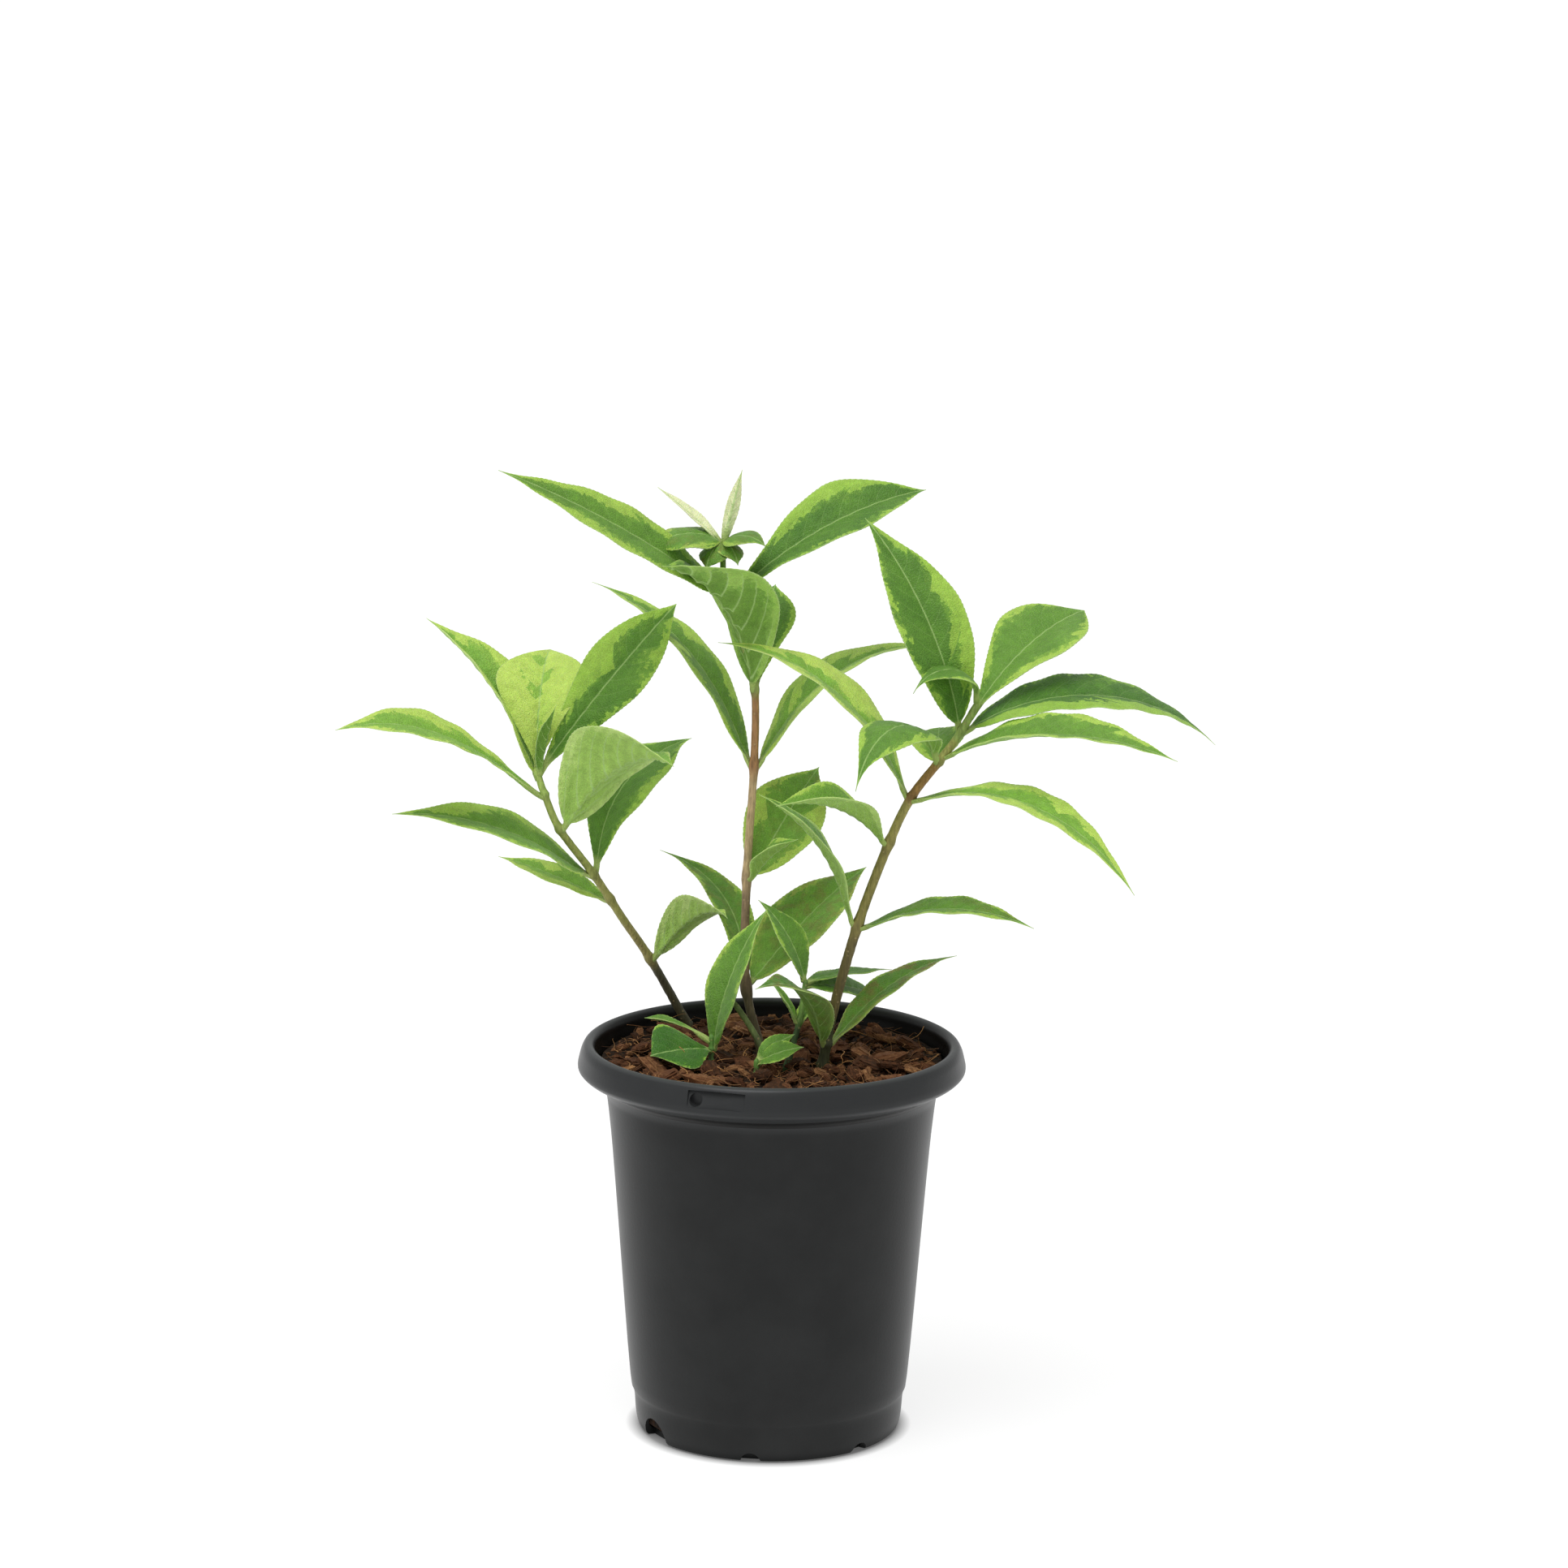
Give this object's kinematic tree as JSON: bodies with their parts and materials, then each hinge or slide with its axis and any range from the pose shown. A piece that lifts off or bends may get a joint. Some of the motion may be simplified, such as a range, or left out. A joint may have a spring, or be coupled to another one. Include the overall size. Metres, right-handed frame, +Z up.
{
  "type": "potted weigela",
  "caption": "Young variegated weigela shrub in a round rolled-rim nursery pot, its leafy stems rising from bark mulch.",
  "frame": {"origin": "middle of the pot's flat underside", "axes": "+Z up along the pot's axis, -Y towards the plant's front, +X to the right as seen from the front"},
  "size_m": [0.2939, 0.13, 0.3274],
  "materials": {
    "pot": "satin black moulded plastic",
    "potting_bark": "rough red-brown bark chips and fibres",
    "stems": "young brown and olive bark",
    "leaves": "soft matte leaf, green with lime margins"
  },
  "bodies": {
    "root": {"pot": "pot", "potting_bark": "potting_bark", "left_stem": "stems", "centre_stem": "stems", "right_stem": "stems", "left_lower_leaves": "leaves", "left_side_leaves": "leaves", "left_middle_leaves": "leaves", "left_upper_leaves": "leaves", "left_tip_leaves": "leaves", "centre_lower_leaves": "leaves", "centre_middle_leaves": "leaves", "centre_upper_leaves": "leaves", "centre_tip_leaves": "leaves", "right_base_leaves": "leaves", "right_lower_leaves": "leaves", "right_middle_leaves": "leaves", "right_upper_leaves": "leaves", "right_tip_leaves": "leaves", "front_shoot_leaves": "leaves", "back_shoot_leaves": "leaves", "bud_shoot_leaves": "leaves"}
  },
  "joints": []
}
